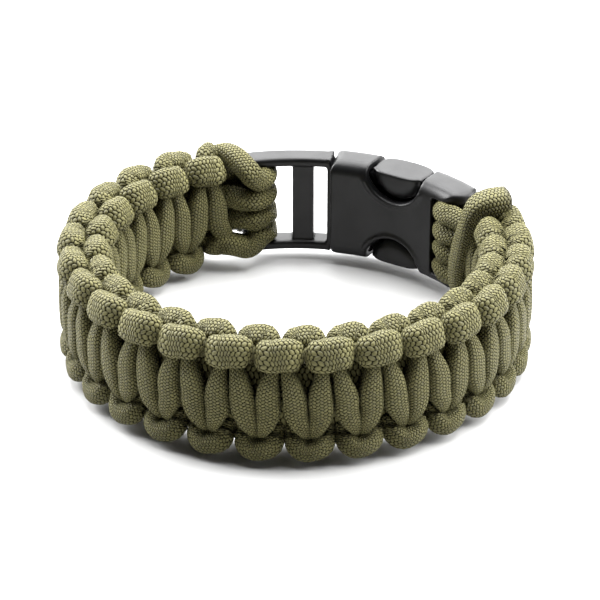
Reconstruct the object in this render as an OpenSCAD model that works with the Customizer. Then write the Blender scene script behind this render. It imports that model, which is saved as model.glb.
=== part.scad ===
// Paracord bracelet, fastened and lying on its side.
// Millimetres. The axis of the ring is Z and the origin is at the ring's centre
// on the surface it lies on. The buckle is centred on +Y: its prong half lies
// towards -X and its socket half towards +X.
// The band is a flat cobra weave. Two core cords run round the ring, and two
// working cords cross them in turn, one on the outer face and one on the inner.

/* [Ring] */
// Inside diameter between the knots
inner_d = 65.8; // [58:0.2:90]
// Width of the woven band, which is the height of the ring as it lies
band_w = 23.4; // [22:0.2:28]
// Thickness of the woven band
band_t = 9.3; // [8.8:0.1:11]
// Whole knots round the ring
knots = 22; // [16:1:24]
// How much wider the first knots are spaced than the last ones
ease = 0.08; // [0:0.01:0.16]

/* [Cord] */
// Diameter of the slack cord
cord_d = 4; // [3.4:0.1:4.4]
// Diameter of a core cord where the knots squeeze it
core_d = 3.1; // [2.4:0.1:3.3]
// Space left between neighbouring cords and round the bars
cord_gap = 0.2; // [0.1:0.05:0.4]
// Bare cord between the prong half's bar and the first knot
lead_in = 6; // [5.8:0.1:9]
// Bare cord between the last knot and the socket half's bar
lead_out = 6; // [5.6:0.1:10]

/* [Buckle frame] */
// Height of the prong half across its side beams
male_h = 19.4; // [17.6:0.2:22]
// Thickness of the prong half's side beams
male_t = 4.6; // [3.8:0.1:5.6]
// Height of each side beam
beam_h = 1.9; // [1.2:0.1:2.2]
// Diameter of the bars that the cords turn round
bar_d = 2.7; // [2.2:0.1:3.2]
// Plastic left outside each of those bars
bar_land = 0.4; // [0.2:0.1:0.8]
// Width of the slot between the end bar and the middle bar
cord_slot = 7.1; // [5:0.1:10]
// Width of the middle bar
mid_bar_w = 4.1; // [2.4:0.1:5]
// Thickness of the middle bar
mid_bar_t = 3; // [2:0.1:3.6]
// Width of the slot between the middle bar and the base wall
strap_slot = 2.8; // [2:0.1:5]
// Width of the base wall that carries the prongs
base_w = 3.1; // [2.4:0.1:4]
// Part of the base wall that stays outside the socket
plate_l = 1; // [0.6:0.1:1.4]

/* [Buckle socket] */
// Height of the socket half
female_h = 19.8; // [18.6:0.2:24]
// Thickness of the socket half
female_t = 8; // [7:0.1:9.4]
// Length of the shell's two faces
shell_l = 24.8; // [22:0.2:30]
// Wall of the shell
shell_wall = 1.5; // [1.2:0.1:1.8]
// Distance from the end of those faces to the middle of the socket half's bar
bar_room = 4.4; // [3.6:0.1:6]
// Space round what goes into the shell
fit_gap = 0.2; // [0.1:0.05:0.4]
// Radius of the half-round release windows
window_r = 6; // [5:0.1:6.6]
// Radius of the moulded edges
edge_r = 1; // [0.4:0.1:1.2]

/* [Hidden] */
$fn = 96;

mid_r = (inner_d + band_t) / 2;
mid_z = band_w / 2;
// Degrees of the ring to a millimetre of its middle line
turn = 180 / (PI * mid_r);

// Stations along the buckle in millimetres from its middle, towards the socket
base_end = -3.35;
base_start = base_end - base_w;
mid_end = base_start - strap_slot;
mid_start = mid_end - mid_bar_w;
male_bar = mid_start - cord_slot - bar_d / 2;
male_start = male_bar - bar_d / 2 - bar_land;
mouth = base_start + plate_l;
shell_stop = mouth + shell_l;
female_bar = shell_stop + bar_room;
female_end = female_bar + bar_d / 2 + bar_land;
window_s = mouth + 0.575 * shell_l;

// A beam's rounded end stays a little inside the beam's faces
nose_share = 0.98;

// The cords on a bar lie side by side in the slot between the beams
wraps = 4;
slot_h = male_h - 2 * beam_h;
wrap_pitch = slot_h / wraps;
wrap_d = min(cord_d, wrap_pitch - cord_gap);
wrap_r = bar_d / 2 + cord_gap + wrap_d / 2;
core_z = wrap_pitch / 2;
work_z = 3 * wrap_pitch / 2;
// Room for the cords round a bar, and where the socket's hollow stops short of it
turn_r = wrap_r + wrap_d / 2 + cord_gap;
hollow_stop = female_bar - turn_r - shell_wall;

// Where the weave starts and stops, as angles round the ring from +X
male_bar_a = 90 - male_bar * turn;
female_bar_a = 450 - female_bar * turn;
weave_start = male_bar_a + lead_in * turn;
weave_stop = female_bar_a - lead_out * turn;
half_knots = 2 * knots;
step = (weave_stop - weave_start) / turn / half_knots;
// Room for one leg over or under the core cords
leg_t = (band_t - core_d) / 2 - cord_gap;

// One quarter of a working cord's stitch, from near the middle of a leg over the
// edge of the band to near the tip of a turn. Its columns are the place along the
// band in half knots, the place out from the middle as a share of band_t, the
// place across as a share of band_w, the width as a share of the slack cord or
// of the room between legs, the thickness as a share of leg_t, and the lean of
// the flat side in degrees.
ALONG = 0; OUT = 1; ACROSS = 2; WIDE = 3; THICK = 4; LEAN = 5;
STITCH = [
    [-0.02,  0.338, 0.150, 0.94, 0.98,   5],
    [-0.27,  0.000, 0.330, 0.42, 0.96,  85],
    [ 0.00, -0.257, 0.443, 0.87, 0.92, 133],
    [ 0.31, -0.352, 0.402, 1.09, 0.94, 175],
];
QUARTER = len(STITCH);

function unit(v) = v / norm(v);
// Angle round the ring of a place in half knots: 0 is the first turn
function round_at(s) = let (u = s / half_knots)
    weave_start + (weave_stop - weave_start) * (u + ease * (u - u * u));
// A place on the band: angle, distance out from the middle, height over the middle
function at(a, out, up) =
    [(mid_r + out) * cos(a), (mid_r + out) * sin(a), mid_z + up];
function facing(a, out, up) = [out * cos(a), out * sin(a), up];
// Distance between two neighbouring legs at a place and a distance out
function spacing(s, out) =
    (round_at(s + 0.5) - round_at(s - 0.5)) / turn * (mid_r + out) / mid_r;

// Station i of a working cord. Each half knot has a quarter in and a quarter out.
// Face is 1 where the legs cross the outer face and -1 on the inner face.
function stitch(i, face) =
    let (leg = floor(i / (2 * QUARTER)),
         off = i - (2 * leg + 1) * QUARTER + 0.5,
         row = STITCH[floor(abs(off))],
         up = face * sign(off) * (leg % 2 == 0 ? 1 : -1),
         out = face * row[OUT] * band_t,
         s = leg + 0.5 + sign(off) * row[ALONG],
         a = round_at(s),
         room = min(cord_d, spacing(s, out)))
    [at(a, out, up * row[ACROSS] * band_w),
     facing(a, face * cos(row[LEAN]), up * sin(row[LEAN])),
     row[WIDE] * room, row[THICK] * leg_t];

// Stations of a cord round a bar, from its outer side through the slot to its
// inner side. The slot lies at smaller angles of the prong half's bar (way 1)
// and at larger angles of the socket half's (way -1).
function round_bar(bar_a, way, up, from = 0, to = 180, steps = 8) =
    [for (k = [0 : steps])
        let (th = from + (to - from) * k / steps,
             a = bar_a - way * wrap_r * sin(th) * turn)
        [at(a, wrap_r * cos(th), up), facing(a, -1, sign(up)), wrap_d, wrap_d]];

// A bare stretch between a bar and the weave, away from the bar, through rows of
// a table: place along as a share of the stretch, place out as a share of
// wrap_r, height over the middle, diameter as a share of wrap_d, and lean of
// the flat side, which is 135 degrees where it isn't given.
function bare(bar_a, way, length, rows) =
    [for (r = rows)
        let (a = bar_a + way * r[0] * length * turn, lean = len(r) > 4 ? r[4] : 135)
        [at(a, r[1] * wrap_r, r[2]), facing(a, cos(lean), sign(r[2]) * sin(lean)),
         r[3] * wrap_d, r[3] * wrap_d]];

function reverse(list) = [for (i = [len(list) - 1 : -1 : 0]) list[i]];

// Points of a closed tube through stations of [place, flat side, width, thickness]
function ring_of(before, here, after, sides) =
    let (t = unit(after[0] - before[0]),
         u = unit(here[1] - (here[1] * t) * t),
         v = cross(t, u))
    [for (k = [0 : sides - 1])
        here[0] + (v * here[2] * cos(k * 360 / sides) + u * here[3] * sin(k * 360 / sides)) / 2];

module tube(stations, sides) {
    n = len(stations);
    points = [for (i = [0 : n - 1])
        each ring_of(stations[max(i - 1, 0)], stations[i], stations[min(i + 1, n - 1)], sides)];
    // Each four-sided patch is split along its shorter diagonal
    faces = concat(
        [[for (k = [sides - 1 : -1 : 0]) k]],
        [for (i = [0 : n - 2], k = [0 : sides - 1])
            let (a = i * sides + k, b = i * sides + (k + 1) % sides,
                 near = norm(points[a] - points[b + sides]) <= norm(points[b] - points[a + sides]))
            each near ? [[a, b, b + sides], [a, b + sides, a + sides]]
                      : [[a, b, a + sides], [b, b + sides, a + sides]]],
        [[for (k = [0 : sides - 1]) (n - 1) * sides + k]]);
    polyhedron(points, faces);
}

// A core cord from the outer side of the prong half's bar, round it, round the
// ring, and twice round the socket half's bar. Up is 1 or -1.
module core(up) {
    run_start = weave_start + 0.3 * step * turn;
    run_steps = 38;
    tube(concat(
        reverse(bare(male_bar_a, 1, lead_in, [
            [0.30, 0.95, up * core_z, 1.00],
            [0.62, 0.82, up * core_z, 0.80]])),
        round_bar(male_bar_a, 1, up * core_z),
        bare(male_bar_a, 1, lead_in, [
            [0.32, -0.80, up * core_z, 0.98],
            [0.66, -0.40, up * core_z, 0.88]]),
        [for (k = [0 : run_steps])
            let (a = run_start + (weave_stop - run_start) * k / run_steps)
            [at(a, 0, up * core_z), facing(a, -1, up), core_d, core_d]],
        reverse(bare(female_bar_a, -1, lead_out, [
            [0.32, -0.80, up * core_z, 0.98],
            [0.66, -0.40, up * core_z, 0.88]])),
        reverse(round_bar(female_bar_a, -1, up * core_z)),
        bare(female_bar_a, -1, lead_out, [
            [0.28, 0.98, up * (core_z + 0.15 * wrap_pitch), 0.96],
            [0.45, 0.96, up * (core_z + work_z) / 2, 0.90],
            [0.28, 0.98, up * (work_z - 0.15 * wrap_pitch), 0.96]]),
        round_bar(female_bar_a, -1, up * work_z),
        bare(female_bar_a, -1, lead_out, [
            [0.30, -0.92, up * work_z, 0.96],
            [0.80, -0.70, up * (work_z - 0.1 * wrap_pitch), 0.72]])), 8);
}

// A working cord from under the first knot, round the prong half's bar and into
// its stitches. The one on the inner face starts over the ring's upper edge.
module weave(face) {
    up = -face;
    tube(concat(
        reverse(bare(male_bar_a, 1, lead_in, [
            [0.35, 0.90, up * (work_z + 0.05 * wrap_pitch), 0.94],
            [0.70, 0.52, up * work_z, 0.66]])),
        round_bar(male_bar_a, 1, up * work_z),
        face == 1 ? bare(male_bar_a, 1, lead_in, [
            [0.40, -1.02, up * (work_z + 0.25 * wrap_pitch), 0.98],
            [0.72, -1.00, up * (work_z + 0.48 * wrap_pitch), 0.92]])
        : bare(male_bar_a, 1, lead_in, [
            [0.08, -1.24, up * (work_z + 0.42 * wrap_pitch), 0.98, 135],
            [0.40, -1.10, up * (work_z + 0.75 * wrap_pitch), 0.96, 130],
            [0.66, -0.40, up * (work_z + 0.97 * wrap_pitch), 0.86, 100],
            [0.84,  0.45, up * (work_z + 0.95 * wrap_pitch), 0.76, 50]]),
        [for (i = [0 : half_knots * 2 * QUARTER - 1]) stitch(i, face)]), 6);
}

// A block of the buckle that follows the ring: between two stations along it,
// two distances out from the middle line and two heights over the middle, with
// its long edges rounded by r
module arc_block(from, to, out1, out2, up1, up2, r = 0) {
    corners = [[out2 - r, up2 - r, 0], [out1 + r, up2 - r, 90],
               [out1 + r, up1 + r, 180], [out2 - r, up1 + r, 270]];
    rotate([0, 0, 90 - to * turn]) rotate_extrude(angle = (to - from) * turn)
        translate([mid_r, mid_z]) polygon([for (c = corners, k = [0 : r > 0 ? 4 : 0])
            [c[0] + r * cos(c[2] + k * 22.5), c[1] + r * sin(c[2] + k * 22.5)]]);
}

// Moves its children to a station of the buckle, with +Y pointing outwards
module on_ring(station) {
    rotate([0, 0, -station * turn]) translate([0, mid_r, mid_z]) children();
}

// A rounded upright end of a beam: a post of diameter d between two heights
module nose(station, d, up1, up2, r) {
    on_ring(station) rotate_extrude() polygon(concat([[0, up1]],
        [for (k = [0 : 4]) [d / 2 - r + r * sin(k * 22.5), up1 + r - r * cos(k * 22.5)]],
        [for (k = [0 : 4]) [d / 2 - r + r * cos(k * 22.5), up2 - r + r * sin(k * 22.5)]],
        [[0, up2]]));
}

module buckle_male() color("dimgray") {
    half = male_h / 2;
    thick = male_t / 2;
    beam_r = min(edge_r, beam_h / 2) * 0.8;
    // What goes into the socket keeps fit_gap from its walls
    inside = female_t / 2 - shell_wall - fit_gap;
    reach = female_h / 2 - shell_wall - fit_gap;
    arm_h = 0.11 * female_h;
    tab_r = window_r - 3 * fit_gap;
    tab_top = female_h / 2 - 2.5 * fit_gap;
    // The two side beams, each with a rounded end
    for (side = [-1, 1]) {
        low = side > 0 ? half - beam_h : -half;
        arc_block(male_start + thick, mouth - 1.5 * fit_gap, -thick, thick, low, low + beam_h, beam_r);
        nose(male_start + thick, nose_share * male_t, low, low + beam_h, beam_r);
    }
    // The round bar for the cords and the flat middle bar
    on_ring(male_bar) cylinder(d = bar_d, h = male_h - beam_h, center = true);
    arc_block(mid_start, mid_end, -mid_bar_t / 2, mid_bar_t / 2, beam_h / 2 - half, half - beam_h / 2);
    // The base wall: a plate outside the socket and a plug inside its mouth
    arc_block(base_start, mouth - fit_gap, -thick * 0.96, thick * 0.96, -half, half);
    arc_block(base_start + plate_l / 2, base_end, -inside, inside, -reach, reach);
    // Two prong arms, each with a half-round release tab in its window
    for (side = [-1, 1]) {
        top = side * (reach - fit_gap);
        arc_block(base_end - base_w / 3, window_s + 0.7 * tab_r, -0.8 * inside, 0.8 * inside,
                  min(top, top - side * arm_h), max(top, top - side * arm_h));
        intersection() {
            on_ring(window_s) translate([0, 0, side * female_h / 2]) rotate([90, 0, 0])
                cylinder(r = tab_r, h = 3 * female_t, center = true);
            arc_block(window_s - window_r, window_s + window_r, -inside, inside,
                      side > 0 ? 0 : -tab_top, side > 0 ? tab_top : 0);
        }
    }
    // The guide between the arms
    arc_block(base_end - base_w / 3, base_end + 0.55 * shell_l, -0.5 * inside, 0.5 * inside,
              -0.09 * female_h, 0.09 * female_h);
}

module buckle_female() color("dimgray") {
    half = female_h / 2;
    thick = female_t / 2;
    nose_s = female_end - thick;
    difference() {
        union() {
            arc_block(mouth, nose_s, -thick, thick, -half, half, edge_r);
            nose(nose_s, nose_share * female_t, -half, half, edge_r);
        }
        // The hollow for the prongs
        arc_block(mouth - 1, hollow_stop, shell_wall - thick, thick - shell_wall,
                  shell_wall - half, half - shell_wall);
        // The half-round release windows in the upper and lower edges
        for (side = [-1, 1])
            on_ring(window_s) translate([0, 0, side * half]) rotate([90, 0, 0])
                cylinder(r = window_r, h = 2 * female_t, center = true);
        // The slot for the cords between the side beams, rounded where it undercuts the faces
        on_ring(female_bar) linear_extrude(slot_h, center = true) union() {
            circle(r = turn_r);
            translate([-bar_room, -female_t]) square([2 * bar_room, 2 * female_t]);
        }
    }
    on_ring(female_bar) cylinder(d = bar_d, h = female_h - beam_h, center = true);
}

module core_upper() color("olive") core(1);
module core_lower() color("olive") core(-1);
module weave_outer() color("darkolivegreen") weave(1);
module weave_inner() color("olivedrab") weave(-1);

buckle_male();
buckle_female();
core_upper();
core_lower();
weave_outer();
weave_inner();
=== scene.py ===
# Paracord bracelet, fastened and lying on its side: the looks of its cords and of its buckle.
# Lengths are millimetres, unless a comment says metres, and MM turns them into Blender's metres.
import math
import random

import bmesh
import bpy
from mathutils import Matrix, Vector


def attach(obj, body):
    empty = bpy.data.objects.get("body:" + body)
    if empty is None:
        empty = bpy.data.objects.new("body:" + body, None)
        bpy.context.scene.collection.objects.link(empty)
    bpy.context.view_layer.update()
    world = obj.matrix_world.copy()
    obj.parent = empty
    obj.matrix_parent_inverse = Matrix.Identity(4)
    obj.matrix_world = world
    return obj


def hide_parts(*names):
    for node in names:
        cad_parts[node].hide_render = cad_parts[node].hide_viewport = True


MM = 0.001

# The ring, its band and its cords, as in the frame
INNER_D = 65.8
BAND_W = 23.4
BAND_T = 9.3
MID_R = (INNER_D + BAND_T) / 2
MID_Z = BAND_W / 2
TURN = 180 / (math.pi * MID_R)  # degrees of the ring to a millimetre of its middle line
CORD_D = 4.0
CORE_D = 3.1

# The buckle, as in the frame: its heights and thicknesses, and stations along the ring from its
# middle towards the socket half
MALE_H = 19.4
BEAM_H = 1.9
BAR_D = 2.7
MALE_BAR = -21.8
FEMALE_H = 19.8
FEMALE_T = 8.0
MOUTH = -5.45
WINDOW_S = 8.81
WINDOW_R = 6.0
FEMALE_BAR = 23.75

# How round the socket's long edges, its mouth and its bar's end are. The outline that they round
# stops past the bar's end, so that only the corners there are drawn in
EDGE_R = 2.4
MOUTH_R = 2.0
END_R = 3.6
OUTLINE_STOP = 27.1

# The bead round a release window: its thickness, its radius as a share of the window's, the steps
# of its half circle and those left out at each end, the sides of its section, the spacing of its
# rings, and how square the section is, where 2 is round
RIM_D = 0.8
RIM_SHARE = 1.09
RIM_STEPS = 24
RIM_LEFT_OUT = 2
RIM_SIDES = 12
RIM_SPACING = 0.4
RIM_FULLNESS = 2.0

# The cushion of a release tab: half its length, thickness and height, its height over the band's
# middle, how far it stays inside the socket's edge, and how square it is
TAB_ALONG = 5.6
TAB_OUT = 3.7
TAB_UP = 5.5
TAB_Z = 9.4
TAB_INSET = 0.5
TAB_FULLNESS = 3.2

# The moulded skin: the size of its cells, and the rounds of smoothing before and after the
# socket's edges are drawn in
SKIN_CELL = 0.22
FIRST_ROUNDS = 2
LAST_ROUNDS = 8

# Four cords lie side by side on each bar, pressed together a little: their spacing, thickness and
# turning radius, the heights of the inner and outer two over and under the band's middle, the bare
# leads between the bars and the weave, and the steps of half a turn
WRAP_PITCH = (MALE_H - 2 * BEAM_H) / 4
WRAP_D = 1.05 * WRAP_PITCH
WRAP_R = BAR_D / 2 + WRAP_D / 2
CORE_Z = WRAP_PITCH / 2
WORK_Z = 3 * WRAP_PITCH / 2
LEAD_IN = 6.0
LEAD_OUT = 6.0
WRAP_STEPS = 8

# The way that the flat side of a cord on a bar faces: how far it follows the turn, how far it is
# set inwards and how far it leans up or down. Beside a bar it leans by an angle in degrees
WRAP_TURN = 0.9
WRAP_INWARDS = 0.1
WRAP_LEAN = 0.35
BARE_LEAN = 135

# The weave: its half knots, how much wider the first are spaced as a share, the angles from +X of
# the bars and of the weave's start and stop, a half knot's length, and a leg's thickness
HALF_KNOTS = 44
EASE = 0.08
MALE_BAR_A = 90 - MALE_BAR * TURN
FEMALE_BAR_A = 450 - FEMALE_BAR * TURN
WEAVE_START = MALE_BAR_A + LEAD_IN * TURN
WEAVE_STOP = FEMALE_BAR_A - LEAD_OUT * TURN
STEP = (WEAVE_STOP - WEAVE_START) / TURN / HALF_KNOTS
LEG_T = (BAND_T - CORE_D) / 2

# The cores' run under the knots: its steps, where it starts in half knots, how far each cord moves
# out from the band's middle and the share of its thickness that it loses
CORE_STEPS = 38
CORE_START = 0.3
CORE_SPREAD = 1.15
CORE_FLATTENING = 0.28

# Small differences from stitch to stitch: the place in half knots and the size as a share
STITCH_SEED = 20
UNEVEN_PLACE = (-0.02, 0.02)
UNEVEN_SIZE = (0.97, 1.03)

# The swept cord: the sides of its section, the spacing of its rings, and how square its section is
CORD_SIDES = 24
RING_SPACING = 0.5
CORD_FULLNESS = 3.2

# A cord's closed end: how far its rim stands off the last station, the rim's share of the cord's
# size, how far the end's middle stands off in rims, and how many points of an end are melted
END_TUCK = 0.3
END_RIM = 0.9
END_BULGE = 1.3
MELTED_POINTS = 3

# The sheath's braid: columns of yarns round a flat cord and round one plumper than the limit, the
# height of a flat cord's row, the share and the most of a bend that count in its rows, and the
# least that a bend is divided by
FLAT_COLUMNS = 16
PLUMP_COLUMNS = 22
PLUMP_T = 3.1
BRAID_ROW = 0.90
BEND_SHARE = 0.6
BEND_MOST = 1.2
BEND_LEAST = 0.001

# A yarn of the braid, in columns and rows: how its rows lean, how fast it falls off along and
# across, how its filaments slant, how many lie side by side, how far one yarn's lie from another's
# in their noise, and the least height in a gap
YARN_LEAN = 0.34
YARN_LENGTH = 3.9
YARN_BREADTH = 2.4
FILAMENT_SLANT = 0.7
FILAMENTS = 7.0
YARN_SHIFT = 50
GAP_LEAST = 0.0001

# The paracord's colours, with the painted shade of its braid's gaps
DARK_YARN = (0.088, 0.081, 0.0265, 1)
LIGHT_YARN = (0.136, 0.125, 0.0435, 1)
DULL_PATCH = (0.070, 0.067, 0.021, 1)
WORN_YARN = (0.215, 0.202, 0.085, 1)
# Painted shade: near black where the braid's yarns sink into the gaps between them
GAP_SHADE = (0.003, 0.0026, 0.001, 1)
MELTED_END = (0.010, 0.010, 0.010, 1)
SHEEN_TINT = (0.70, 0.66, 0.38, 1)

# The paracord's finish: how dull its patches get, the gloss and the sheen of its yarns, how much
# the filaments add to the relief, and how high the relief is
DULLNESS = 0.5
YARN_GLOSS = 0.3
YARN_SHEEN = 0.08
FILAMENT_RELIEF = 0.2
RELIEF = 0.4

# The plastic's colours and the floor's
DARK_PLASTIC = (0.003, 0.003, 0.0034, 1)
LIGHT_PLASTIC = (0.005, 0.005, 0.0054, 1)
FLOOR_GREY = (0.5, 0.5, 0.5, 1)

# The camera, fitted to the knots and the buckle in the photograph
CAMERA_AZIMUTH = 19.5
CAMERA_ELEVATION = 27.94
CAMERA_DISTANCE = 516
CAMERA_TARGET = (0, 0, 12)
FOCAL_PX = 2872
PRINCIPAL_PX = (295.5, 290.1)
PHOTO_PX = 600
SENSOR = 36.0

# The studio: the floor's reach each way and the softboxes' places and sizes, all in metres, the
# softboxes' power in watts, and the strength of the light from all round
FLOOR_REACH = 3.0
SOFTBOXES = {
    "top_softbox": ((0.0, 0.31, 0.91), 1.0, 43),
    "back_softbox": ((-0.3, 0.9, 0.5), 1.0, 18),
    "left_softbox": ((-0.88, 0.22, 0.5), 0.6, 30),
    "right_softbox": ((0.80, 0.45, 0.5), 0.6, 24),
}
ROOM_LIGHT = 0.06


# Objects and meshes

def add_object(name, data):
    """A new object in the scene, at the origin."""
    made = bpy.data.objects.new(name, data)
    bpy.context.scene.collection.objects.link(made)
    return made


def apply_modifiers(piece):
    """Turns a piece and its modifiers into a plain mesh."""
    depsgraph = bpy.context.evaluated_depsgraph_get()
    done = bpy.data.meshes.new_from_object(piece.evaluated_get(depsgraph))
    piece.modifiers.clear()
    piece.data = done


def face_outwards(mesh):
    """Turns all faces of a closed mesh outwards."""
    shape = bmesh.new()
    shape.from_mesh(mesh)
    bmesh.ops.recalc_face_normals(shape, faces=shape.faces)
    shape.to_mesh(mesh)
    shape.free()


def merged_copy(node, name):
    """A new object with a copy of a CAD node's mesh, its loose triangles joined."""
    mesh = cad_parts[node].data.copy()
    shape = bmesh.new()
    shape.from_mesh(mesh)
    bmesh.ops.remove_doubles(shape, verts=shape.verts, dist=0.001 * MM)
    shape.to_mesh(mesh)
    shape.free()
    return add_object(name, mesh)


def joined(piece, *others):
    """Adds the meshes of other objects, which are then dropped, to a piece."""
    shape = bmesh.new()
    shape.from_mesh(piece.data)
    for other in others:
        shape.from_mesh(other.data)
        bpy.data.objects.remove(other)
    shape.to_mesh(piece.data)
    shape.free()


def mould(piece, rounds):
    """Gives a rough solid the small even rounding of a moulded part."""
    remesh = piece.modifiers.new("Skin", "REMESH")
    remesh.mode = "VOXEL"
    remesh.voxel_size = SKIN_CELL * MM
    remesh.use_smooth_shade = True
    smooth = piece.modifiers.new("Soften", "SMOOTH")
    smooth.factor = 0.5
    smooth.iterations = rounds
    apply_modifiers(piece)


# Node helpers

def add_node(tree, kind, settings=None, **inputs):
    """A node of a tree, with its settings and its inputs' values or links."""
    made = tree.nodes.new(kind)
    for key, value in (settings or {}).items():
        setattr(made, key, value)
    for key, value in inputs.items():
        feed(tree, live(made.inputs, key.replace("_", " ")), value)
    return made


def feed(tree, socket, value):
    """Sets a socket to a value, or links another node's output to it."""
    if isinstance(value, bpy.types.NodeSocket):
        tree.links.new(value, socket)
    else:
        socket.default_value = value


def live(sockets, name):
    """The socket of that name that the node's settings leave in use."""
    return next(socket for socket in sockets if socket.enabled and socket.name == name)


def math_node(tree, operation, *values):
    """The result of an operation on values or links."""
    made = add_node(tree, "ShaderNodeMath", {"operation": operation})
    for socket, value in zip(made.inputs, values):
        feed(tree, socket, value)
    return made.outputs[0]


def vector_node(tree, operation, *values):
    """The result of a vector operation on values or links."""
    made = add_node(tree, "ShaderNodeVectorMath", {"operation": operation})
    for socket, value in zip((s for s in made.inputs if s.enabled), values):
        feed(tree, socket, value)
    return live(made.outputs, "Value" if operation in ("DOT_PRODUCT", "LENGTH") else "Vector")


def scaled(tree, vector, factor):
    """A vector times a factor."""
    made = add_node(tree, "ShaderNodeVectorMath", {"operation": "SCALE"})
    feed(tree, made.inputs[0], vector)
    feed(tree, made.inputs["Scale"], factor)
    return made.outputs["Vector"]


def named(tree, name, data_type="FLOAT"):
    """The attribute of that name."""
    made = add_node(tree, "GeometryNodeInputNamedAttribute", {"data_type": data_type})
    made.inputs["Name"].default_value = name
    return live(made.outputs, "Attribute")


def stored(tree, geometry, name, value, data_type="FLOAT", domain="POINT"):
    """The geometry with a value stored in an attribute of that name."""
    made = add_node(tree, "GeometryNodeStoreNamedAttribute",
                    {"data_type": data_type, "domain": domain})
    made.inputs["Name"].default_value = name
    feed(tree, made.inputs["Geometry"], geometry)
    feed(tree, live(made.inputs, "Value"), value)
    return made.outputs["Geometry"]


# Geometry Nodes: a cord swept along its guide

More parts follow.
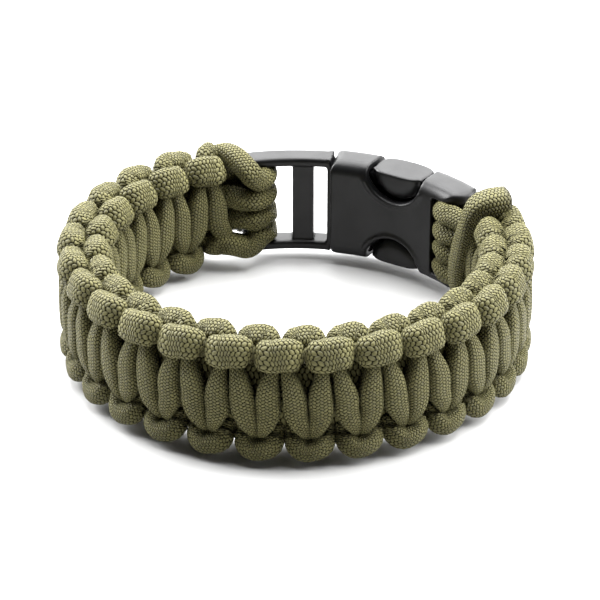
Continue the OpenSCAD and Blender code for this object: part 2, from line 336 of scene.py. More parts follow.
def cord_sweep_tree():
    """Sweeps a flattened cord along a guide line whose points hold the cord's flat side, width,
    thickness and columns, and gives it a UV map: columns round the cord in x, and in y the metres
    along it. They count for more round a bend, so that its outer side's braid isn't stretched, and
    on a plump cord, so that its rows are as fine as its columns."""
    tree = bpy.data.node_groups.new("Cord sweep", "GeometryNodeTree")
    for name, kind in (("Guide", "Geometry"), ("Sides", "Int"), ("Ring spacing", "Float"),
                       ("Fullness", "Float"), ("Finish", "Material")):
        tree.interface.new_socket(name=name, in_out="INPUT", socket_type="NodeSocket" + kind)
    tree.interface.new_socket(name="Cord", in_out="OUTPUT", socket_type="NodeSocketGeometry")
    given = add_node(tree, "NodeGroupInput").outputs
    result = add_node(tree, "NodeGroupOutput").inputs

    # The guide as a smooth curve with evenly spaced rings
    curve = add_node(tree, "GeometryNodeMeshToCurve", Mesh=given["Guide"]).outputs["Curve"]
    curve = add_node(tree, "GeometryNodeCurveSplineType", {"spline_type": "CATMULL_ROM"},
                     Curve=curve).outputs["Curve"]
    curve = add_node(tree, "GeometryNodeSetSplineResolution", Geometry=curve,
                     Resolution=10).outputs["Geometry"]
    curve = add_node(tree, "GeometryNodeResampleCurve", {"mode": "LENGTH"}, Curve=curve,
                     Length=given["Ring spacing"]).outputs["Curve"]
    position = add_node(tree, "GeometryNodeInputPosition").outputs[0]
    curve = stored(tree, curve, "centre", position, "FLOAT_VECTOR")
    tangent = add_node(tree, "GeometryNodeInputTangent").outputs[0]
    curve = stored(tree, curve, "heading", tangent, "FLOAT_VECTOR")
    step = math_node(tree, "MULTIPLY", named(tree, "pace"), given["Ring spacing"])
    travelled = add_node(tree, "GeometryNodeAccumulateField",
                         {"data_type": "FLOAT", "domain": "POINT"})
    feed(tree, live(travelled.inputs, "Value"), step)
    curve = stored(tree, curve, "along", live(travelled.outputs, "Leading"))

    # An open profile with one point more than the sides, so that both edges of the seam keep UVs
    profile = add_node(tree, "GeometryNodeCurvePrimitiveLine").outputs["Curve"]
    count = math_node(tree, "ADD", given["Sides"], 1)
    profile = add_node(tree, "GeometryNodeResampleCurve", {"mode": "COUNT"}, Curve=profile,
                       Count=count).outputs["Curve"]
    factor = add_node(tree, "GeometryNodeSplineParameter").outputs["Factor"]
    profile = stored(tree, profile, "around", factor)
    sheet = add_node(tree, "GeometryNodeCurveToMesh", Curve=curve,
                     Profile_Curve=profile).outputs["Mesh"]

    # Each ring laid out on its flat side as a rounded oval
    heading = named(tree, "heading", "FLOAT_VECTOR")
    flat = named(tree, "flat", "FLOAT_VECTOR")
    lean = vector_node(tree, "DOT_PRODUCT", flat, heading)
    up = vector_node(tree, "SUBTRACT", flat, scaled(tree, heading, lean))
    up = vector_node(tree, "NORMALIZE", up)
    side = vector_node(tree, "CROSS_PRODUCT", heading, up)
    # The seam lies under the cord, a quarter turn before its side
    turned = math_node(tree, "SUBTRACT", named(tree, "around"), 0.25)
    angle = math_node(tree, "MULTIPLY", turned, 2 * math.pi)
    across = math_node(tree, "COSINE", angle)
    over = math_node(tree, "SINE", angle)
    full = given["Fullness"]
    powers = [math_node(tree, "POWER", math_node(tree, "ABSOLUTE", part), full)
              for part in (across, over)]
    root = math_node(tree, "DIVIDE", -1, full)
    swell = math_node(tree, "POWER", math_node(tree, "ADD", *powers), root)

    def reach(size, part):
        """How far the ring's point lies from its middle on one of its two axes."""
        half = math_node(tree, "MULTIPLY", named(tree, size), 0.5)
        return math_node(tree, "MULTIPLY", part, math_node(tree, "MULTIPLY", half, swell))

    offset = vector_node(tree, "ADD", scaled(tree, side, reach("wide", across)),
                         scaled(tree, up, reach("thick", over)))
    place = vector_node(tree, "ADD", named(tree, "centre", "FLOAT_VECTOR"), offset)
    sheet = add_node(tree, "GeometryNodeSetPosition", Geometry=sheet,
                     Position=place).outputs["Geometry"]

    # The UV map, the closed seam and the finish
    turned = math_node(tree, "SUBTRACT", named(tree, "around"), 0.5)
    column = math_node(tree, "MULTIPLY", turned, named(tree, "columns"))
    uv = add_node(tree, "ShaderNodeCombineXYZ", X=column, Y=named(tree, "along"))
    sheet = stored(tree, sheet, "cord", uv.outputs[0], "FLOAT2", "CORNER")
    sheet = add_node(tree, "GeometryNodeMergeByDistance", Geometry=sheet,
                     Distance=0.002 * MM).outputs["Geometry"]
    for name in ("centre", "heading", "along", "around", "flat", "wide", "thick", "pace"):
        cleared = add_node(tree, "GeometryNodeRemoveAttribute", Geometry=sheet)
        cleared.inputs["Name"].default_value = name
        sheet = cleared.outputs["Geometry"]
    sheet = add_node(tree, "GeometryNodeSetShadeSmooth", Geometry=sheet).outputs["Geometry"]
    sheet = add_node(tree, "GeometryNodeRealizeInstances", Geometry=sheet).outputs["Geometry"]
    sheet = add_node(tree, "GeometryNodeSetMaterial", Geometry=sheet, Material=given["Finish"])
    feed(tree, result["Cord"], sheet.outputs["Geometry"])
    return tree


def grow(name, guide, tree, **inputs):
    """A finished mesh object: a guide mesh grown by a tree whose inputs are set by identifier."""
    piece = add_object(name, guide)
    growth = piece.modifiers.new("Growth", "NODES")
    growth.node_group = tree
    for item in tree.interface.items_tree:
        key = item.name.replace(" ", "_").lower()
        if item.in_out == "INPUT" and key in inputs:
            growth[item.identifier] = inputs[key]
    apply_modifiers(piece)
    face_outwards(piece.data)
    return piece


def pace(before, place, after, thick):
    """How much longer a bend is near its outer side than along its middle."""
    sides = (place - before).length * (after - place).length * (after - before).length
    bend = 2 * (place - before).cross(after - place).length / max(sides, BEND_LEAST)
    return 1 + min(BEND_SHARE * bend * thick / 2, BEND_MOST)


def guide_line(name, stations, melted=0):
    """A line of points through stations of (place, flat side, width, thickness) in millimetres. Its
    last points can be marked as melted."""
    places, flats, widths, thicknesses = zip(*stations)
    line = bpy.data.meshes.new(name)
    links = [(i, i + 1) for i in range(len(places) - 1)]
    line.from_pydata([place * MM for place in places], links, [])
    flat = line.attributes.new("flat", "FLOAT_VECTOR", "POINT")
    flat.data.foreach_set("vector", [part for way in flats for part in way])
    columns = [PLUMP_COLUMNS if thick > PLUMP_T else FLAT_COLUMNS for thick in thicknesses]
    bends = [pace(*places[i:i + 3], thicknesses[i + 1]) for i in range(len(places) - 2)]
    paces = [bend * count / FLAT_COLUMNS for bend, count in zip([1.0] + bends + [1.0], columns)]
    for key, values in (("wide", [wide * MM for wide in widths]),
                        ("thick", [thick * MM for thick in thicknesses]),
                        ("melt", [0.0] * (len(places) - melted) + [1.0] * melted),
                        ("pace", paces),
                        ("columns", columns)):
        line.attributes.new(key, "FLOAT", "POINT").data.foreach_set("value", values)
    return line


# The routes of the cords

def unit_way(angle):
    """The way straight out from the ring's axis, at degrees round it."""
    return Vector((math.cos(math.radians(angle)), math.sin(math.radians(angle)), 0))


def at(angle, out, up):
    """A place on the band: degrees round it, mm out from its middle line and mm over its middle."""
    return unit_way(angle) * (MID_R + out) + Vector((0, 0, MID_Z + up))


def facing(angle, out, up):
    """A way out from the ring's axis and up, for a flat side."""
    return unit_way(angle) * out + Vector((0, 0, up))


def round_at(s):
    """The angle of a place counted in half knots. The first knots are spaced a little wider."""
    share = s / HALF_KNOTS
    return WEAVE_START + (WEAVE_STOP - WEAVE_START) * (share + EASE * (share - share * share))


def spacing(s, out):
    """Distance between two neighbouring legs at a place and a distance out."""
    return (round_at(s + 0.5) - round_at(s - 0.5)) / TURN * (MID_R + out) / MID_R


# Half a leg, from its middle towards the upper edge and towards the lower one, where neighbouring
# legs meet: place along in half knots, out as a share of the band's thickness, across as a share of
# its width, the cord's width as a share of the room there, its thickness as a share of a leg's, and
# the flat side's lean in degrees
UPPER_HALF = (
    (0.00, 0.345, 0.060, 1.03, 1.10, 3),
    (-0.07, 0.330, 0.155, 0.86, 1.10, 6),
    (-0.17, 0.255, 0.245, 0.60, 1.05, 25),
    (-0.28, 0.090, 0.315, 0.54, 1.05, 62),
    (-0.14, -0.070, 0.350, 0.80, 1.15, 100),
)
LOWER_HALF = (
    (-0.02, 0.345, 0.050, 1.04, 1.10, 3),
    (-0.14, 0.330, 0.140, 0.86, 1.10, 6),
    (-0.31, 0.235, 0.225, 0.50, 1.05, 24),
    (-0.40, 0.020, 0.280, 0.36, 1.05, 60),
    (-0.20, -0.090, 0.270, 0.70, 1.15, 95),
)
# The turn that follows, on the upper edge's two sides and on the lower edge, in the same columns
UPPER_OUTER_TURN = (
    (-0.01, -0.185, 0.378, 1.30, 1.36, 156),
    (0.10, -0.270, 0.390, 1.38, 1.46, 160),
    (0.33, -0.278, 0.392, 1.40, 1.48, 162),
)
UPPER_INNER_TURN = (
    (-0.01, -0.175, 0.374, 1.28, 1.36, 148),
    (0.10, -0.255, 0.387, 1.38, 1.46, 152),
    (0.33, -0.262, 0.390, 1.42, 1.48, 153),
)
LOWER_TURN = (
    (-0.09, -0.180, 0.285, 0.86, 1.20, 134),
    (0.04, -0.290, 0.338, 0.95, 1.25, 158),
    (0.30, -0.325, 0.365, 0.93, 1.26, 174),
)
QUARTER = len(UPPER_HALF) + len(LOWER_TURN)

# The first stitch is slacker: the outer cord's first turn lies higher over the lower edge, and the
# inner cord's first leg leans towards the buckle
SLACK_TURN = (
    (0.00, -0.180, 0.300, 0.90, 1.25, 135),
    (0.12, -0.290, 0.290, 1.00, 1.20, 160),
    (0.32, -0.360, 0.265, 1.10, 1.15, 172),
)
SLACK_LEG = (
    (-0.12, 0.360, 0.070, 1.00, 1.10, 3),
    (-0.42, 0.350, 0.165, 0.90, 1.10, 6),
    (-0.72, 0.275, 0.240, 0.72, 1.05, 22),
    (-0.70, 0.120, 0.305, 0.55, 1.05, 60),
    (-0.36, -0.080, 0.325, 0.75, 1.15, 95),
)

# How far a turn droops at the end where its cord arrives, as a share of the band's width, and how
# far the band's lower edge has slid along its upper edge, in half knots
DROOP = 0.007
SLIDE = 0.32


def stitch_rows(face, leg, way, up):
    """The rows of half a leg and its turn on the upper or lower edge."""
    if leg == 0 and way == -face:
        return LOWER_HALF + SLACK_TURN if face > 0 else SLACK_LEG + LOWER_TURN
    if up < 0:
        return LOWER_HALF + LOWER_TURN
    return UPPER_HALF + (UPPER_INNER_TURN if face > 0 else UPPER_OUTER_TURN)


def stitches(face, legs):
    """Stations of a working cord's stitches. Face is 1 where its legs cross the outer face, and -1
    where they cross the inner one. Each leg has a quarter before its middle and one after it, and
    a quarter's stations are numbered from the middle out."""
    made = []
    uneven = random.Random(STITCH_SEED + face)
    for i in range(legs * 2 * QUARTER):
        leg = i // (2 * QUARTER)
        off = i - (2 * leg + 1) * QUARTER + 0.5
        way = 1 if off > 0 else -1
        number = int(abs(off))
        up = face * way * (1 if leg % 2 == 0 else -1)
        along, out, across, wide, thick, lean = stitch_rows(face, leg, way, up)[number]
        if number >= len(UPPER_HALF):
            across -= DROOP * way * up
        s = leg + 0.5 + way * along - SLIDE * up * across + uneven.uniform(*UNEVEN_PLACE)
        angle = round_at(s)
        room = min(CORD_D, spacing(s, face * out * BAND_T)) * uneven.uniform(*UNEVEN_SIZE)
        turned = math.radians(lean)
        made.append((at(angle, face * out * BAND_T, up * across * BAND_W),
                     facing(angle, face * math.cos(turned), up * math.sin(turned)),
                     wide * room, thick * LEG_T))
    return made


def round_bar(bar_angle, way, up):
    """Half a turn round a bar, from its outer side through the slot to its inner side."""
    made = []
    for k in range(WRAP_STEPS + 1):
        theta = math.pi * k / WRAP_STEPS
        angle = bar_angle - way * WRAP_R * math.sin(theta) * TURN
        flat = facing(angle, math.cos(theta) * WRAP_TURN - WRAP_INWARDS,
                      math.copysign(WRAP_LEAN, up))
        made.append((at(angle, WRAP_R * math.cos(theta), up), flat, WRAP_D, WRAP_D))
    return made


def bare(bar_angle, way, length, rows):
    """A bare stretch beside a bar, in rows of the place along as a share of its length, out as a
    share of the wraps' radius, the height in mm over the band's middle, the cord's size as a share
    of a wrap's, and the flat side's lean in degrees where it isn't the usual one."""
    made = []
    for along, out, up, size, *lean in rows:
        angle = bar_angle + way * along * length * TURN
        turned = math.radians(lean[0] if lean else BARE_LEAN)
        flat = facing(angle, math.cos(turned), math.copysign(math.sin(turned), up))
        made.append((at(angle, out * WRAP_R, up), flat, size * WRAP_D, size * WRAP_D))
    return made


def core_route(up):
    """A core cord: from the first knot round the prong half's bar, round the ring under the knots,
    where it spreads out flat, and twice round the socket half's bar."""
    run_start = WEAVE_START + CORE_START * STEP * TURN
    run = []
    for k in range(CORE_STEPS + 1):
        angle = run_start + (WEAVE_STOP - run_start) * k / CORE_STEPS
        spread = min(k + 1, CORE_STEPS - k + 1, 2) / 2
        run.append((at(angle, 0, up * (CORE_Z + CORE_SPREAD * spread)), facing(angle, -1, 0),
                    (1 + spread) * CORE_D, (1 - CORE_FLATTENING * spread) * CORE_D))
    return (
        bare(MALE_BAR_A, 1, LEAD_IN, [(0.98, 0.60, up * (CORE_Z + 0.7), 0.72),
                                      (0.62, 0.82, up * (CORE_Z + 0.2), 0.88),
                                      (0.30, 0.95, up * CORE_Z, 1.0)])
        + round_bar(MALE_BAR_A, 1, up * CORE_Z)
        + bare(MALE_BAR_A, 1, LEAD_IN, [(0.32, -0.80, up * CORE_Z, 0.98),
                                        (0.66, -0.45, up * (CORE_Z + 0.4), 0.98)])
        + run
        + bare(FEMALE_BAR_A, -1, LEAD_OUT, [(0.66, -0.40, up * CORE_Z, 0.88),
                                            (0.32, -0.80, up * CORE_Z, 0.98)])
        + round_bar(FEMALE_BAR_A, -1, up * CORE_Z)[::-1]
        + bare(FEMALE_BAR_A, -1, LEAD_OUT, [(0.32, 0.98, up * (CORE_Z + 0.12 * WRAP_PITCH), 0.98),
                                            (0.58, 0.90, up * (CORE_Z + WORK_Z) / 2, 0.92),
                                            (0.32, 0.98, up * (WORK_Z - 0.12 * WRAP_PITCH), 0.98)])
        + round_bar(FEMALE_BAR_A, -1, up * WORK_Z)
        + bare(FEMALE_BAR_A, -1, LEAD_OUT, [(0.30, -0.92, up * WORK_Z, 0.98),
                                            (0.75, -0.70, up * (WORK_Z - 0.1 * WRAP_PITCH), 0.88),
                                            (1.20, -0.35, up * (WORK_Z - 0.3 * WRAP_PITCH), 0.70)])
    )


# The inner cord's last strand, from its last turn under the band, slanting back over the inner
# face and over the upper edge to its melted end: mm along the ring from the buckle's middle, out
# from the band's middle line and up from the surface that the bracelet lies on, the cord's width
# and thickness in mm, and the flat side's lean in degrees
LAST_STRAND = (
    (32.6, 1.2, 2.2, 3.3, 3.3, 260),
    (30.8, -1.6, 2.4, 3.5, 3.3, 250),
    (29.8, -3.9, 4.9, 3.9, 3.3, 205),
    (30.4, -4.6, 9.3, 4.2, 3.4, 182),
    (31.9, -4.7, 14.0, 4.2, 3.4, 178),
    (33.4, -4.6, 18.0, 3.9, 3.2, 172),
    (34.2, -4.2, 20.6, 3.4, 3.2, 150),
    (34.6, -3.0, 22.9, 4.9, 4.4, 120),
    (34.9, -0.9, 23.8, 5.8, 5.0, 92),
    (35.0, 1.4, 24.0, 5.8, 5.0, 88),
    (35.0, 2.6, 24.0, 5.7, 4.9, 86),
)


def weave_route(face):
    """A working cord: from under the first knot, round the prong half's bar and into its stitches.
    The outer cord ends at the upper edge, and the inner one with the last strand."""
    up = -face
    if face > 0:
        start = [(1.15, 0.30, up * (WORK_Z - 0.6 * WRAP_PITCH), 0.66),
                 (0.70, 0.55, up * (WORK_Z - 0.5 * WRAP_PITCH), 0.80),
                 (0.35, 0.90, up * (WORK_Z - 0.25 * WRAP_PITCH), 0.90)]
        lead = [(0.02, -1.12, up * (WORK_Z + 0.25 * WRAP_PITCH), 1.0, 160),
                (0.26, -1.22, up * (WORK_Z + 0.36 * WRAP_PITCH), 1.0, 160),
                (0.60, -1.24, up * (WORK_Z + 0.20 * WRAP_PITCH), 1.0, 165),
                (0.86, -1.20, up * (WORK_Z + 0.08 * WRAP_PITCH), 1.0, 170)]
        last = stitches(face, HALF_KNOTS - 1)[:-len(UPPER_INNER_TURN)]
    else:
        start = [(1.15, 0.25, up * (WORK_Z + 0.1 * WRAP_PITCH), 0.76),
                 (0.70, 0.55, up * (WORK_Z + 0.1 * WRAP_PITCH), 0.86),
                 (0.35, 0.90, up * (WORK_Z + 0.05 * WRAP_PITCH), 0.94)]
        lead = [(0.00, -1.10, up * (WORK_Z + 0.30 * WRAP_PITCH), 1.0, 150),
                (0.17, -1.08, up * (WORK_Z + 0.66 * WRAP_PITCH), 1.0, 140),
                (0.45, -0.40, up * (WORK_Z + 1.06 * WRAP_PITCH), 1.0, 110),
                (0.70, 0.35, up * (WORK_Z + 1.16 * WRAP_PITCH), 0.95, 75),
                (0.88, 0.80, up * (WORK_Z + 0.92 * WRAP_PITCH), 0.95, 40)]
        last = stitches(face, HALF_KNOTS - 1)
        for along, out, height, wide, thick, lean in LAST_STRAND:
            angle = 90 - along * TURN
            turned = math.radians(lean)
            flat = facing(angle, math.cos(turned), math.sin(turned))
            last.append((at(angle, out, height - MID_Z), flat, wide, thick))
    return (bare(MALE_BAR_A, 1, LEAD_IN, start) + round_bar(MALE_BAR_A, 1, up * WORK_Z)[:-1]
            + bare(MALE_BAR_A, 1, LEAD_IN, lead) + last)


def closed_ends(stations):
    """Adds a flat end with a rounded rim to each end of a cord's stations."""
    def end(first, second):
        outwards = (first[0] - second[0]).normalized()
        place, flat, wide, thick = first
        return [(place + outwards * END_TUCK, flat, wide * END_RIM, thick * END_RIM),
                (place + outwards * END_TUCK * END_BULGE, flat, 0, 0)]
    return end(*stations[:2])[::-1] + stations + end(stations[-1], stations[-2])


# The braid's shader group

def shader_group(name, inputs, outputs):
    """A shader node group with named value inputs and outputs of the kinds given."""
    group = bpy.data.node_groups.new(name, "ShaderNodeTree")
    for key, (kind, value) in inputs.items():
        socket = group.interface.new_socket(name=key, in_out="INPUT",
                                            socket_type="NodeSocket" + kind)
        socket.default_value = value
    for key, kind in outputs.items():
        group.interface.new_socket(name=key, in_out="OUTPUT", socket_type="NodeSocket" + kind)
    given = add_node(group, "NodeGroupInput").outputs
    result = add_node(group, "NodeGroupOutput").inputs
    return group, given, result


def braid_group():
    """The braided sheath: plump yarns in two interlocking sets of columns that lean opposite ways.
    Coordinates are columns in x and metres along the cord in y."""
    group, given, result = shader_group(
        "Braided sheath",
        {"Coordinates": ("Vector", (0, 0, 0)), "Columns": ("Float", FLAT_COLUMNS),
         "Row": ("Float", BRAID_ROW * MM), "Lean": ("Float", YARN_LEAN),
         "Length": ("Float", YARN_LENGTH), "Breadth": ("Float", YARN_BREADTH)},
        {"Height": "Float", "Yarn": "Float", "Cell": "Float"})
    parts = add_node(group, "ShaderNodeSeparateXYZ", Vector=given["Coordinates"]).outputs
    x = parts["X"]
    y = math_node(group, "DIVIDE", parts["Y"], given["Row"])

    def yarns(shift, way):
        """A set's nearest yarn: its height here, its column and row, and the places in its cell."""
        pair = math_node(group, "DIVIDE", math_node(group, "SUBTRACT", x, shift), 2)
        pair = math_node(group, "ROUND", pair)
        column = math_node(group, "ADD", math_node(group, "MULTIPLY", pair, 2), shift)
        across = math_node(group, "SUBTRACT", x, column)
        lean = math_node(group, "MULTIPLY", across, way)
        lean = math_node(group, "MULTIPLY", lean, given["Lean"])
        along = math_node(group, "SUBTRACT", math_node(group, "SUBTRACT", y, shift / 2), lean)
        row = math_node(group, "ROUND", along)
        along = math_node(group, "SUBTRACT", along, row)
        fall_across = math_node(group, "MULTIPLY", math_node(group, "MULTIPLY", across, across),
                                given["Breadth"])
        fall_along = math_node(group, "MULTIPLY", math_node(group, "MULTIPLY", along, along),
                               given["Length"])
        fall = math_node(group, "ADD", fall_across, fall_along)
        slant = math_node(group, "MULTIPLY", along, FILAMENT_SLANT * way)
        slant = math_node(group, "SUBTRACT", across, slant)
        return (math_node(group, "SUBTRACT", 1, fall),
                math_node(group, "FLOORED_MODULO", column, given["Columns"]), row, slant, along)

    even, odd = yarns(0, 1), yarns(1, -1)
    is_odd = math_node(group, "GREATER_THAN", odd[0], even[0])

    def chosen(number):
        """One of the five values, from the set whose yarn is higher here."""
        step = math_node(group, "SUBTRACT", odd[number], even[number])
        return math_node(group, "ADD", even[number], math_node(group, "MULTIPLY", step, is_odd))

    height = math_node(group, "SQRT", math_node(group, "MAXIMUM", chosen(0), GAP_LEAST))
    column, row, slant, along = (chosen(number) for number in (1, 2, 3, 4))
    number = add_node(group, "ShaderNodeCombineXYZ", X=column, Y=row).outputs[0]
    cell = add_node(group, "ShaderNodeTexWhiteNoise", {"noise_dimensions": "2D"}, Vector=number)

    # Fine filaments along each yarn, different in each
    shift = math_node(group, "MULTIPLY", cell.outputs["Value"], YARN_SHIFT)
    across = math_node(group, "ADD", math_node(group, "MULTIPLY", slant, FILAMENTS), shift)
    place = add_node(group, "ShaderNodeCombineXYZ", X=across, Y=along).outputs[0]
    strand = add_node(group, "ShaderNodeTexNoise", {"noise_dimensions": "2D"}, Vector=place,
                      Scale=1.0, Detail=2.0)
    feed(group, result["Height"], height)
    feed(group, result["Yarn"], strand.outputs[0])
    feed(group, result["Cell"], cell.outputs["Value"])
    return group


# Materials

def new_material(name):
    """A material with only the main shader, which is returned too."""
    material = bpy.data.materials.new(name)
    material.use_nodes = True
    tree = material.node_tree
    tree.nodes.clear()
    shader = add_node(tree, "ShaderNodeBsdfPrincipled")
    add_node(tree, "ShaderNodeOutputMaterial", Surface=shader.outputs[0])
    return material, shader


def mixed(tree, factor, first, second):
    """Colour between two others by a factor."""
    made = add_node(tree, "ShaderNodeMix", {"data_type": "RGBA"})
    colours = [s for s in made.inputs if s.enabled and s.type == "RGBA"]
    feed(tree, made.inputs["Factor"], factor)
    feed(tree, colours[0], first)
    feed(tree, colours[1], second)
    return next(s for s in made.outputs if s.enabled)


def ranged(tree, value, low, high, to_low=0.0, to_high=1.0):
    """Value mapped smoothly from one range to another."""
    made = add_node(tree, "ShaderNodeMapRange", {"interpolation_type": "SMOOTHSTEP"})
    for key, part in zip(("Value", "From Min", "From Max", "To Min", "To Max"),
                         (value, low, high, to_low, to_high)):
        feed(tree, made.inputs[key], part)
    return made.outputs["Result"]


def paracord_finish():
    """Braided olive cord: each yarn dyed a little differently, dull in patches, worn on its
    filaments, with painted shade in the gaps between yarns and black melted ends."""
    material, shader = new_material("Olive paracord")
    tree = material.node_tree
    uv = add_node(tree, "ShaderNodeUVMap", {"uv_map": "cord"}).outputs["UV"]
    columns = add_node(tree, "ShaderNodeAttribute", {"attribute_name": "columns"}).outputs["Fac"]
    melt = add_node(tree, "ShaderNodeAttribute", {"attribute_name": "melt"}).outputs["Fac"]
    sheath = add_node(tree, "ShaderNodeGroup", {"node_tree": braid_group()},
                      Coordinates=uv, Columns=columns)
    height, yarn, cell = (sheath.outputs[key] for key in ("Height", "Yarn", "Cell"))
    place = add_node(tree, "ShaderNodeTexCoord").outputs["Object"]
    patches = add_node(tree, "ShaderNodeTexNoise", Vector=place, Scale=160.0, Detail=3.0)

    dyed = mixed(tree, cell, DARK_YARN, LIGHT_YARN)
    dull = math_node(tree, "MULTIPLY", patches.outputs[0], DULLNESS)
    dyed = mixed(tree, dull, dyed, DULL_PATCH)
    wear = ranged(tree, yarn, low=0.35, high=0.75, to_low=0.0, to_high=0.35)
    worn = mixed(tree, wear, dyed, WORN_YARN)
    # Painted shade: where the relief falls into the gaps between yarns, the colour goes near black
    on_yarn = ranged(tree, height, low=0.28, high=0.77)
    colour = mixed(tree, on_yarn, GAP_SHADE, worn)
    colour = mixed(tree, melt, colour, MELTED_END)
    roughness = ranged(tree, cell, low=0.0, high=1.0, to_low=0.52, to_high=0.66)
    feed(tree, shader.inputs["Base Color"], colour)
    feed(tree, shader.inputs["Roughness"], roughness)
    feed(tree, shader.inputs["Specular IOR Level"],
         math_node(tree, "MULTIPLY", on_yarn, YARN_GLOSS))
    feed(tree, shader.inputs["Sheen Weight"], math_node(tree, "MULTIPLY", on_yarn, YARN_SHEEN))
    shader.inputs["Sheen Roughness"].default_value = 0.45
    shader.inputs["Sheen Tint"].default_value = SHEEN_TINT

    # The melted end has no braid
    relief = math_node(tree, "ADD", height, math_node(tree, "MULTIPLY", yarn, FILAMENT_RELIEF))
    relief = math_node(tree, "MULTIPLY", relief, math_node(tree, "SUBTRACT", 1, melt))
    bump = add_node(tree, "ShaderNodeBump", Strength=1.0, Distance=RELIEF * MM, Height=relief)
    feed(tree, shader.inputs["Normal"], bump.outputs[0])
    return material


def plastic_finish():
    """Black plastic with a fine grain, a little duller in places."""
    material, shader = new_material("Black moulded plastic")
    tree = material.node_tree
    place = add_node(tree, "ShaderNodeTexCoord").outputs["Object"]
    grain = add_node(tree, "ShaderNodeTexNoise", Vector=place, Scale=9000.0, Detail=2.0)
    clouds = add_node(tree, "ShaderNodeTexNoise", Vector=place, Scale=220.0, Detail=4.0)
    colour = mixed(tree, clouds.outputs[0], DARK_PLASTIC, LIGHT_PLASTIC)
    roughness = ranged(tree, clouds.outputs[0], low=0.3, high=0.7, to_low=0.34, to_high=0.44)
    feed(tree, shader.inputs["Base Color"], colour)
    feed(tree, shader.inputs["Roughness"], roughness)
    shader.inputs["Specular IOR Level"].default_value = 0.24
    bump = add_node(tree, "ShaderNodeBump", Strength=0.35, Distance=0.02 * MM,
                    Height=grain.outputs[0])
    feed(tree, shader.inputs["Normal"], bump.outputs[0])
    return material


def floor_finish():
    material, shader = new_material("Pale floor")
    shader.inputs["Base Color"].default_value = FLOOR_GREY
    shader.inputs["Roughness"].default_value = 0.9
    return material


# The pieces

def finish_piece(piece, node, material=None):
    """Gives a piece its body and hides the CAD node that it stands for, and gives it a material
    where its tree gave it none.
    """
    if material:
        piece.data.materials.clear()
        piece.data.materials.append(material)
    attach(piece, "root")
    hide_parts(node)


def make_cords(tree):
    """The four cords, with the working cords' last ends melted."""
    finish = paracord_finish()
    routes = {"core_upper": core_route(1), "core_lower": core_route(-1),
              "weave_outer": weave_route(1), "weave_inner": weave_route(-1)}
    for node, route in routes.items():
        name = node + "_cord"
        melted = MELTED_POINTS if node.startswith("weave") else 0
        piece = grow(name, guide_line(name, closed_ends(route), melted), tree, sides=CORD_SIDES,
                     ring_spacing=RING_SPACING * MM, fullness=CORD_FULLNESS, finish=finish)
        finish_piece(piece, node)


def window_rim(side, out, tree):
    """A bead round the half-round window in the upper or lower edge, on one of the socket's two
    faces, which lies that far out."""
    radius = MID_R + out
    stations = []
    for k in range(RIM_LEFT_OUT, RIM_STEPS - RIM_LEFT_OUT + 1):
        angle = math.pi * k / RIM_STEPS
        along = WINDOW_R * RIM_SHARE * math.cos(angle)
        up = side * (FEMALE_H / 2 - WINDOW_R * RIM_SHARE * math.sin(angle))
        turned = 90 - WINDOW_S * TURN - math.degrees(math.asin(along / radius))
        stations.append((at(turned, out, up), facing(turned, 1, 0), RIM_D, RIM_D))
    return grow("window_rim", guide_line("window_rim", closed_ends(stations)), tree,
                sides=RIM_SIDES, ring_spacing=RIM_SPACING * MM, fullness=RIM_FULLNESS)


def tab_cushion(side):
    """The full cushion of a release tab, flattened towards the socket's edge."""
    shape = bmesh.new()
    bmesh.ops.create_uvsphere(shape, u_segments=48, v_segments=32, radius=1)
    for vert in shape.verts:
        flat = math.hypot(vert.co.x, vert.co.z)
        swell = (flat ** TAB_FULLNESS + abs(vert.co.y) ** TAB_FULLNESS) ** (-1 / TAB_FULLNESS)
        along, out, up = vert.co.x * TAB_ALONG, vert.co.y * TAB_OUT, vert.co.z * TAB_UP
        height = side * min(side * up * swell + TAB_Z, FEMALE_H / 2 - TAB_INSET)
        turned = 90 - (WINDOW_S + along * swell) * TURN
        vert.co = at(turned, out * swell, height) * MM
    mesh = bpy.data.meshes.new("tab_cushion")
    shape.to_mesh(mesh)
    shape.free()
    face_outwards(mesh)
    return bpy.data.objects.new("tab_cushion", mesh)


def rounded(first, second, first_half, second_half, radius):
    """Two coordinates of a place, drawn in to a rounded rectangle's corner if they lie past it."""
    over = (abs(first) - first_half + radius, abs(second) - second_half + radius)
    far = math.hypot(*over)
    if min(over) <= 0 or far <= radius:
        return first, second
    return (math.copysign(first_half - radius + over[0] * radius / far, first),
            math.copysign(second_half - radius + over[1] * radius / far, second))


def round_socket(piece):
    """Gives the socket half the generous rounding of its edges and of its two ends."""
    middle = (MOUTH + OUTLINE_STOP) / 2
    half = (OUTLINE_STOP - MOUTH) / 2
    for vert in piece.data.vertices:
        place = vert.co / MM
        angle = math.degrees(math.atan2(place.y, place.x))
        along, out, up = (90 - angle) / TURN, math.hypot(place.x, place.y) - MID_R, place.z - MID_Z
        out, up = rounded(out, up, FEMALE_T / 2, FEMALE_H / 2, EDGE_R)
        end_r = MOUTH_R if along < middle else END_R
        along, up = rounded(along - middle, up, half, FEMALE_H / 2, end_r)
        vert.co = at(90 - (along + middle) * TURN, out, up) * MM


def make_buckle(tree):
    """The buckle's two halves, moulded from the CAD's own solids."""
    finish = plastic_finish()
    male = merged_copy("buckle_male", "buckle_male_moulded")
    joined(male, tab_cushion(1), tab_cushion(-1))
    mould(male, LAST_ROUNDS)
    female = merged_copy("buckle_female", "buckle_female_moulded")
    faces = (FEMALE_T / 2, -FEMALE_T / 2)
    joined(female, *[window_rim(side, out, tree) for side in (1, -1) for out in faces])
    mould(female, FIRST_ROUNDS)
    round_socket(female)
    mould(female, LAST_ROUNDS)
    for piece, node in ((male, "buckle_male"), (female, "buckle_female")):
        finish_piece(piece, node, finish)


# The studio

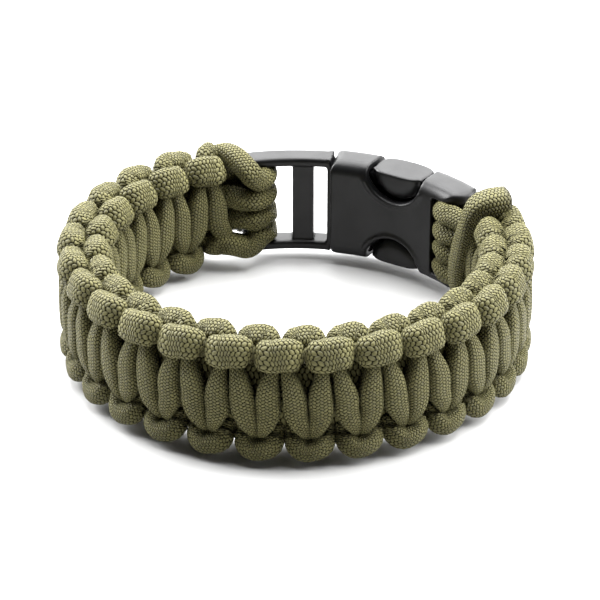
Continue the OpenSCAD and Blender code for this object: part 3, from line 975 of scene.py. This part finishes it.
def make_floor():
    mesh = bpy.data.meshes.new("floor")
    corners = [(x * FLOOR_REACH, y * FLOOR_REACH, 0)
               for x, y in ((-1, -1), (1, -1), (1, 1), (-1, 1))]
    mesh.from_pydata(corners, [], [(0, 1, 2, 3)])
    mesh.materials.append(floor_finish())
    floor = add_object("floor", mesh)


def make_lights():
    """White softboxes that face the origin and a dim even light, shown with their own tones."""
    for name, (place, size, power) in SOFTBOXES.items():
        lamp = bpy.data.lights.new(name, "AREA")
        lamp.shape = "SQUARE"
        lamp.size = size
        lamp.energy = power
        light = add_object(name, lamp)
        light.location = place
        light.rotation_euler = (-Vector(place)).to_track_quat("-Z", "Y").to_euler()
    world = bpy.data.worlds.new("Studio")
    world.use_nodes = True
    background = world.node_tree.nodes["Background"]
    background.inputs["Color"].default_value = (1, 1, 1, 1)
    background.inputs["Strength"].default_value = ROOM_LIGHT
    bpy.context.scene.world = world
    bpy.context.scene.view_settings.view_transform = "Standard"


def make_camera():
    """The photograph's camera, looking at its target from the distance that was fitted."""
    azimuth = math.radians(CAMERA_AZIMUTH)
    elevation = math.radians(CAMERA_ELEVATION)
    level = math.cos(elevation)
    back = Vector((math.sin(azimuth) * level, -math.cos(azimuth) * level, math.sin(elevation)))
    lens = bpy.data.cameras.new("camera")
    lens.sensor_width = SENSOR
    lens.lens = FOCAL_PX / PHOTO_PX * SENSOR
    lens.shift_x = 0.5 - PRINCIPAL_PX[0] / PHOTO_PX
    lens.shift_y = PRINCIPAL_PX[1] / PHOTO_PX - 0.5
    lens.clip_start = 0.01
    camera = add_object("camera", lens)
    camera.location = (Vector(CAMERA_TARGET) + back * CAMERA_DISTANCE) * MM
    camera.rotation_euler = (-back).to_track_quat("-Z", "Y").to_euler()
    bpy.context.scene.camera = camera


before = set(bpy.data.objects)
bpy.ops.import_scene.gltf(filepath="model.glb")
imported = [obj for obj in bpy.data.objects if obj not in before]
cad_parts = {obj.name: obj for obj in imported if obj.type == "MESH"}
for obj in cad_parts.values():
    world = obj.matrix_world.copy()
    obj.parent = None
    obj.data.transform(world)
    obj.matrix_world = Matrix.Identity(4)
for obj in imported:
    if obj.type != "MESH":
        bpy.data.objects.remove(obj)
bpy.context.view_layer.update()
cord_sweep = cord_sweep_tree()
make_camera()
make_cords(cord_sweep)
make_buckle(cord_sweep)
make_floor()
make_lights()
